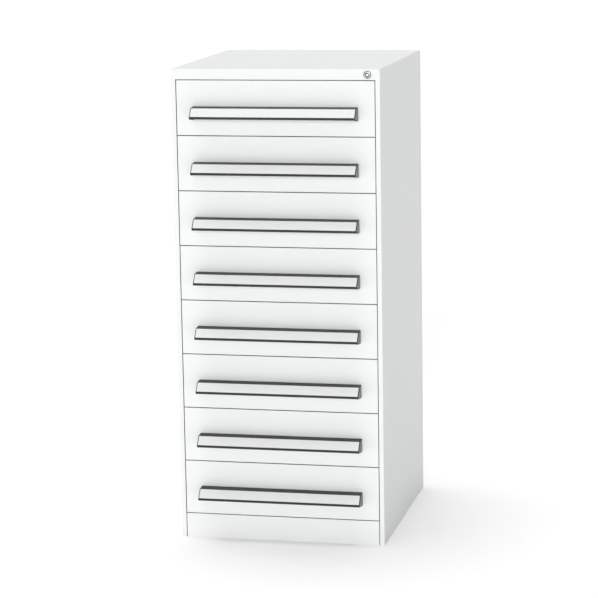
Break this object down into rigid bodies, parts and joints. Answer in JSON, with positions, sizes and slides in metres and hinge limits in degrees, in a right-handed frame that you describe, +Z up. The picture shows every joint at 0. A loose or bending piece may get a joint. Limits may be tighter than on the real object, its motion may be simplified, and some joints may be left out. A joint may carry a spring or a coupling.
{
  "type": "drawer tool cabinet",
  "caption": "Tall steel cabinet of equal drawers on telescopic runners, with a long labelled pull on each drawer and a key lock that bars them all.",
  "frame": {"origin": "bottom centre of the outer box, on the floor, pulls included", "axes": "+Z up; +X to the right seen from the front; +Y to the back, so the drawers open along -Y"},
  "size_m": [0.58, 0.686, 1.32],
  "materials": {
    "cabinet_paint": "off-white powder coat, fine orange peel, satin",
    "tray_paint": "light grey powder coat, satin",
    "zinc_steel": "bright zinc plate over rolled steel",
    "handle_plastic": "dark grey moulded plastic, fine grain",
    "label_strip": "pale card behind a clear cover",
    "lock_metal": "nickel-plated die casting"
  },
  "bodies": {
    "cabinet": {"left_side_panel": "cabinet_paint", "right_side_panel": "cabinet_paint", "top_panel": "cabinet_paint", "back_panel": "cabinet_paint", "base_panel": "cabinet_paint", "plinth_panel": "cabinet_paint", "runner_posts": "zinc_steel", "runner_outer_members": "zinc_steel", "lock_barrel": "lock_metal"},
    "drawer_1": {"drawer_1_tray": "tray_paint", "drawer_1_front": "cabinet_paint", "drawer_1_handle": "handle_plastic", "drawer_1_label": "label_strip", "drawer_1_runner_inner": "zinc_steel"},
    "drawer_1_middle": {"drawer_1_runner_middle": "zinc_steel"},
    "drawer_2": {"drawer_2_tray": "tray_paint", "drawer_2_front": "cabinet_paint", "drawer_2_handle": "handle_plastic", "drawer_2_label": "label_strip", "drawer_2_runner_inner": "zinc_steel"},
    "drawer_2_middle": {"drawer_2_runner_middle": "zinc_steel"},
    "drawer_3": {"drawer_3_tray": "tray_paint", "drawer_3_front": "cabinet_paint", "drawer_3_handle": "handle_plastic", "drawer_3_label": "label_strip", "drawer_3_runner_inner": "zinc_steel"},
    "drawer_3_middle": {"drawer_3_runner_middle": "zinc_steel"},
    "drawer_4": {"drawer_4_tray": "tray_paint", "drawer_4_front": "cabinet_paint", "drawer_4_handle": "handle_plastic", "drawer_4_label": "label_strip", "drawer_4_runner_inner": "zinc_steel"},
    "drawer_4_middle": {"drawer_4_runner_middle": "zinc_steel"},
    "drawer_5": {"drawer_5_tray": "tray_paint", "drawer_5_front": "cabinet_paint", "drawer_5_handle": "handle_plastic", "drawer_5_label": "label_strip", "drawer_5_runner_inner": "zinc_steel"},
    "drawer_5_middle": {"drawer_5_runner_middle": "zinc_steel"},
    "drawer_6": {"drawer_6_tray": "tray_paint", "drawer_6_front": "cabinet_paint", "drawer_6_handle": "handle_plastic", "drawer_6_label": "label_strip", "drawer_6_runner_inner": "zinc_steel"},
    "drawer_6_middle": {"drawer_6_runner_middle": "zinc_steel"},
    "drawer_7": {"drawer_7_tray": "tray_paint", "drawer_7_front": "cabinet_paint", "drawer_7_handle": "handle_plastic", "drawer_7_label": "label_strip", "drawer_7_runner_inner": "zinc_steel"},
    "drawer_7_middle": {"drawer_7_runner_middle": "zinc_steel"},
    "drawer_8": {"drawer_8_tray": "tray_paint", "drawer_8_front": "cabinet_paint", "drawer_8_handle": "handle_plastic", "drawer_8_label": "label_strip", "drawer_8_runner_inner": "zinc_steel"},
    "drawer_8_middle": {"drawer_8_runner_middle": "zinc_steel"},
    "lock_plug": {"lock_plug": "lock_metal", "lock_cam": "zinc_steel"},
    "lock_bar": {"lock_bar": "zinc_steel"}
  },
  "joints": [
    {"name": "drawer_1_slide", "type": "slide", "parent": "cabinet", "child": "drawer_1", "axis": [0, -1, 0], "range_m": [0, 0.5]},
    {"name": "drawer_1_middle_slide", "type": "slide", "parent": "cabinet", "child": "drawer_1_middle", "axis": [0, -1, 0], "range_m": [0, 0.25]},
    {"name": "drawer_2_slide", "type": "slide", "parent": "cabinet", "child": "drawer_2", "axis": [0, -1, 0], "range_m": [0, 0.5]},
    {"name": "drawer_2_middle_slide", "type": "slide", "parent": "cabinet", "child": "drawer_2_middle", "axis": [0, -1, 0], "range_m": [0, 0.25]},
    {"name": "drawer_3_slide", "type": "slide", "parent": "cabinet", "child": "drawer_3", "axis": [0, -1, 0], "range_m": [0, 0.5]},
    {"name": "drawer_3_middle_slide", "type": "slide", "parent": "cabinet", "child": "drawer_3_middle", "axis": [0, -1, 0], "range_m": [0, 0.25]},
    {"name": "drawer_4_slide", "type": "slide", "parent": "cabinet", "child": "drawer_4", "axis": [0, -1, 0], "range_m": [0, 0.5]},
    {"name": "drawer_4_middle_slide", "type": "slide", "parent": "cabinet", "child": "drawer_4_middle", "axis": [0, -1, 0], "range_m": [0, 0.25]},
    {"name": "drawer_5_slide", "type": "slide", "parent": "cabinet", "child": "drawer_5", "axis": [0, -1, 0], "range_m": [0, 0.5]},
    {"name": "drawer_5_middle_slide", "type": "slide", "parent": "cabinet", "child": "drawer_5_middle", "axis": [0, -1, 0], "range_m": [0, 0.25]},
    {"name": "drawer_6_slide", "type": "slide", "parent": "cabinet", "child": "drawer_6", "axis": [0, -1, 0], "range_m": [0, 0.5]},
    {"name": "drawer_6_middle_slide", "type": "slide", "parent": "cabinet", "child": "drawer_6_middle", "axis": [0, -1, 0], "range_m": [0, 0.25]},
    {"name": "drawer_7_slide", "type": "slide", "parent": "cabinet", "child": "drawer_7", "axis": [0, -1, 0], "range_m": [0, 0.5]},
    {"name": "drawer_7_middle_slide", "type": "slide", "parent": "cabinet", "child": "drawer_7_middle", "axis": [0, -1, 0], "range_m": [0, 0.25]},
    {"name": "drawer_8_slide", "type": "slide", "parent": "cabinet", "child": "drawer_8", "axis": [0, -1, 0], "range_m": [0, 0.5]},
    {"name": "drawer_8_middle_slide", "type": "slide", "parent": "cabinet", "child": "drawer_8_middle", "axis": [0, -1, 0], "range_m": [0, 0.25]},
    {"name": "lock_bar_slide", "type": "slide", "parent": "cabinet", "child": "lock_bar", "axis": [0, 0, 1], "range_m": [0, 0.01555]},
    {"name": "lock_plug_turn", "type": "hinge", "parent": "cabinet", "child": "lock_plug", "pos_m": [0.256, -0.297, 1.305], "axis": [0, -1, 0], "range_deg": [0, 90]}
  ],
  "couplings": [
    {"joint": "drawer_1_middle_slide", "follows": "drawer_1_slide", "ratio": 0.5},
    {"joint": "drawer_2_middle_slide", "follows": "drawer_2_slide", "ratio": 0.5},
    {"joint": "drawer_3_middle_slide", "follows": "drawer_3_slide", "ratio": 0.5},
    {"joint": "drawer_4_middle_slide", "follows": "drawer_4_slide", "ratio": 0.5},
    {"joint": "drawer_5_middle_slide", "follows": "drawer_5_slide", "ratio": 0.5},
    {"joint": "drawer_6_middle_slide", "follows": "drawer_6_slide", "ratio": 0.5},
    {"joint": "drawer_7_middle_slide", "follows": "drawer_7_slide", "ratio": 0.5},
    {"joint": "drawer_8_middle_slide", "follows": "drawer_8_slide", "ratio": 0.5},
    {"joint": "lock_plug_turn", "follows": "lock_bar_slide", "rad_per_m": 100.96}
  ]
}
